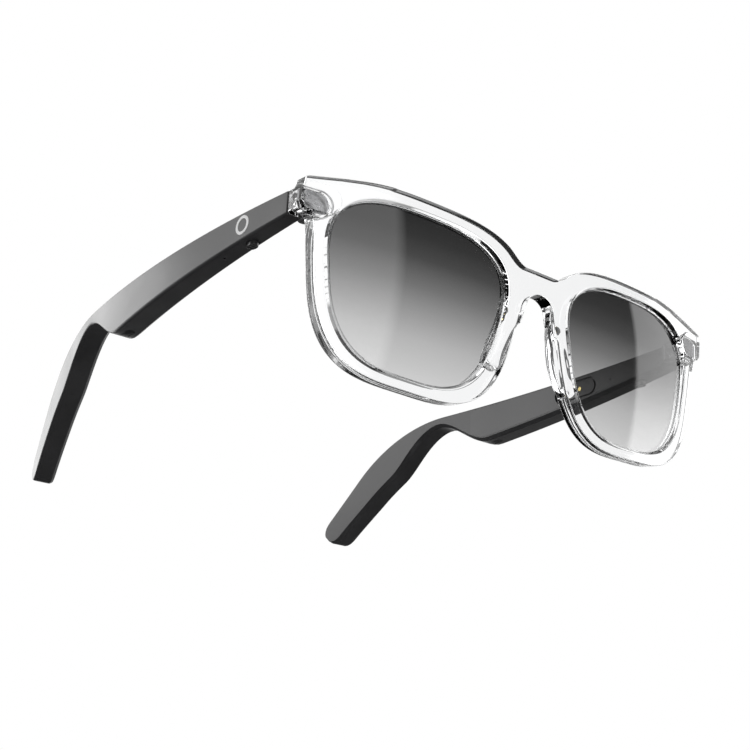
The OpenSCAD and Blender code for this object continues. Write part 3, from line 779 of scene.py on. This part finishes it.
def make_materials():
    lens_low, lens_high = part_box("lens_left")
    return {
        "clear_frame": clear_plastic("clear_acetate"),
        "clear_pad": clear_plastic("clear_acetate_pad"),
        "tinted_lens": graduated_glass("graduated_lens", lens_low.z, lens_high.z),
        "hinge_metal": metal("hinge_steel", (0.42, 0.42, 0.43), 0.32, (1, 1, 8)),
        "screw_metal": metal("turned_steel", (0.62, 0.62, 0.63), 0.22, (6, 6, 1)),
        "graphite_shell": moulded("graphite_satin", (0.026, 0.026, 0.027), 0.33),
        "graphite_cover": moulded("graphite_satin_cover", (0.026, 0.026, 0.027), 0.33),
        "contact_insulator": moulded("contact_black", (0.012, 0.012, 0.013), 0.4),
        "contact_gold": metal("gold_plate", (0.95, 0.72, 0.3), 0.16, scale=PLATING_SCALE),
        "battery_foil": metal("pouch_foil", (0.6, 0.61, 0.63), 0.35, (1, 1, 1), 500),
        "board_laminate": moulded("board_green", (0.02, 0.12, 0.06), 0.35, 1800),
        "chip_resin": moulded("chip_black", (0.02, 0.02, 0.021), 0.5),
        "speaker_case": moulded("speaker_black", (0.02, 0.02, 0.021), 0.4),
        "mesh_metal": metal("mesh_black", (0.09, 0.09, 0.095), 0.4),
        "microphone_can": metal("microphone_plate", (0.75, 0.65, 0.42), 0.25, scale=PLATING_SCALE),
        "button_plastic": moulded("button_satin", (0.02, 0.02, 0.021), 0.28),
        "switch_metal": metal("switch_steel", (0.62, 0.62, 0.63), 0.3),
        "light_pipe": moulded("light_pipe_smoke", (0.006, 0.006, 0.007), 0.15),
        "mark_ink": printed("mark_white", (0.86, 0.86, 0.86)),
    }


def paint(pieces):
    materials = make_materials()
    for part in frame["record"]["subparts"]:
        node = frame["nodes"][part["node"]]
        node.data.materials.clear()
        node.data.materials.append(materials[part["material_slot"]])
    for obj in pieces:
        obj.data.materials.clear()
        obj.data.materials.append(materials[obj["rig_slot"]])


# ---- studio ----

CAMERA = dict(azimuth=-37.5087, elevation=-22.3588, roll=1.0737, distance=360.0375,
              aside=-14.9222, above=5.6209, focus=(0, 45, 0), lens=60.07)


def build_camera():
    """The camera, in the wearing frame, from below and the wearer's right."""
    a, e, roll = (math.radians(CAMERA[k]) for k in ("azimuth", "elevation", "roll"))
    back = np.array([math.sin(a) * math.cos(e), -math.cos(a) * math.cos(e), math.sin(e)])
    level = np.array([math.cos(a), math.sin(a), 0])
    upright = np.cross(back, level)
    right = level * math.cos(roll) + upright * math.sin(roll)
    up = upright * math.cos(roll) - level * math.sin(roll)
    spot = (np.array(CAMERA["focus"], float) + back * CAMERA["distance"]
            + right * CAMERA["aside"] + up * CAMERA["above"])
    data = bpy.data.cameras.new("camera")
    data.lens, data.sensor_width = CAMERA["lens"], 36.0
    data.clip_start, data.clip_end = 0.01, 100
    camera = bpy.data.objects.new("camera", data)
    bpy.context.scene.collection.objects.link(camera)
    axes = [WEAR.direction(v) for v in (right, up, back)]
    turn = Matrix([[float(axes[k][i]) for k in range(3)] for i in range(3)])
    camera.matrix_world = Matrix.Translation(Vector(WEAR.row(spot))) @ turn.to_4x4()
    bpy.context.scene.camera = camera


FLOOR_Z = -0.16


def build_floor():
    """A plain pale floor that reflections and refractions do not see."""
    mesh = bpy.data.meshes.new("floor")
    reach, count = 6.0, 4
    bm = bmesh.new()
    bmesh.ops.create_grid(bm, x_segments=count, y_segments=count, size=reach)
    bm.to_mesh(mesh)
    bm.free()
    floor = bpy.data.objects.new("floor", mesh)
    floor.location.z = FLOOR_Z
    bpy.context.scene.collection.objects.link(floor)
    mat, nodes, links, shader = new_material("pale_floor")
    pale = colours(nodes, links, noise(nodes, links, 3, 2), [(0.3, 0.8), (0.7, 0.82)])
    links.new(pale, shader.inputs["Base Color"])
    shader.inputs["Roughness"].default_value = 0.8
    mesh.materials.append(mat)
    floor.visible_glossy = False
    floor.visible_transmission = False


def softbox(name, at, aim, size, power):
    """A rectangular light in wearing coordinates, millimetres; size is width and height."""
    data = bpy.data.lights.new(name, "AREA")
    data.shape, data.size, data.size_y = "RECTANGLE", size[0] * MM, size[1] * MM
    data.energy = power
    lamp = bpy.data.objects.new(name, data)
    bpy.context.scene.collection.objects.link(lamp)
    spot, target = Vector(WEAR.row(at)), Vector(WEAR.row(aim))
    lamp.location = spot
    lamp.rotation_mode = "QUATERNION"
    lamp.rotation_quaternion = (target - spot).to_track_quat("-Z", "Y")
    lamp.visible_camera = False
    lamp.visible_transmission = False
    return lamp


def calculate(nodes, links, operation, *terms, clamp=False):
    """A math node; each term is a number or another node's output."""
    m = nodes.new("ShaderNodeMath")
    m.operation, m.use_clamp = operation, clamp
    for socket, term in zip(m.inputs, terms):
        if isinstance(term, (int, float)):
            socket.default_value = term
        else:
            links.new(term, socket)
    return m.outputs[0]


def mix_colours(nodes, links, factor, a, b):
    m = nodes.new("ShaderNodeMix")
    m.data_type = "RGBA"
    links.new(factor, m.inputs["Factor"])
    for socket, colour in ((m.inputs["A"], a), (m.inputs["B"], b)):
        if isinstance(colour, (int, float)):
            socket.default_value = (colour, colour, colour, 1)
        else:
            links.new(colour, socket)
    return m.outputs["Result"]


def bearing_stops(panels, dim, feather):
    """Ramp stops for bright panels between pairs of bearings in degrees, -180 to 180 from the front."""
    stops = [(0.0, dim)]
    for start, end, level in panels:
        for bearing, value in ((start, dim), (start + feather, level), (end - feather, level), (end, dim)):
            stops.append(((bearing + 180) / 360, value))
    return stops


# Upright light panels: bearings in degrees from the front, and brightness.
PANELS = [(-178, -118, 1.1), (-30, 18.5, 1.8), (56.5, 112, 2.3), (118, 168, 1.0)]
PANEL_LEAN = 0.17
DIM, HORIZON, BELOW, ABOVE = 0.12, 0.3, 0.02, 0.5
CEILING, UNDER = 0.04, 0.3
# Clamped ramps over a direction's height (-1 to 1): slope and offset.
FLOOR_RAMP, DEEP_RAMP, HIGH_RAMP = (12.0, 1.2), (14.0, 6.4), (6.0, -4.2)
CEILING_RAMP, UNDER_RAMP = (8.0, -5.2), (-6.0, -2.1)


def build_world():
    """White to the camera and to rays that go straight through, a studio to everything else."""
    world = bpy.data.worlds.new("studio")
    bpy.context.scene.world = world
    world.use_nodes = True
    nodes, links = world.node_tree.nodes, world.node_tree.links
    background = nodes["Background"]

    def math_node(operation, *terms, clamp=False):
        return calculate(nodes, links, operation, *terms, clamp=clamp)

    coord = nodes.new("ShaderNodeTexCoord")
    axes = nodes.new("ShaderNodeSeparateXYZ")
    links.new(coord.outputs["Generated"], axes.inputs["Vector"])
    x, y, z = (axes.outputs[k] for k in "XYZ")
    bearing = math_node("ARCTAN2", x, math_node("MULTIPLY", y, -1.0))
    leant = math_node("MULTIPLY_ADD", z, -PANEL_LEAN, bearing)
    turn = math_node("ADD", math_node("DIVIDE", leant, 2 * math.pi), 0.5)
    panels = colours(nodes, links, turn, bearing_stops(PANELS, DIM, 0.4))
    low = math_node("MULTIPLY_ADD", z, *FLOOR_RAMP, clamp=True)
    deep = math_node("MULTIPLY_ADD", z, *DEEP_RAMP, clamp=True)
    high = math_node("MULTIPLY_ADD", z, *HIGH_RAMP, clamp=True)
    floor_side = mix_colours(nodes, links, deep, BELOW, HORIZON)
    studio = mix_colours(nodes, links, low, floor_side, mix_colours(nodes, links, high, panels, ABOVE))

    rays = nodes.new("ShaderNodeLightPath")
    inner = math_node("SUBTRACT", rays.outputs["Ray Depth"], rays.outputs["Transmission Depth"])
    straight = math_node("LESS_THAN", inner, 0.5)
    ceiling = math_node("MULTIPLY_ADD", z, *CEILING_RAMP, clamp=True)
    under = math_node("MULTIPLY_ADD", z, *UNDER_RAMP, clamp=True)
    through = mix_colours(nodes, links, under, mix_colours(nodes, links, ceiling, 1.0, CEILING), UNDER)
    seen = mix_colours(nodes, links, straight, studio, through)
    links.new(mix_colours(nodes, links, rays.outputs["Is Camera Ray"], seen, 1.0), background.inputs["Color"])


def build_studio():
    build_world()
    build_floor()
    softbox("side_light", (-120, 370, 80), (-60, 60, 0), (220, 220), 0.36)
    softbox("far_light", (-540, 350, 230), (-70, 20, 10), (300, 260), 0.5)
    bpy.context.scene.view_settings.view_transform = "Standard"


build_camera()
build_studio()
made = [build_front()]
for side in SIDES:
    made += [build_lens(side), build_temple(side), build_button(side), build_mesh(side)]
paint(made)
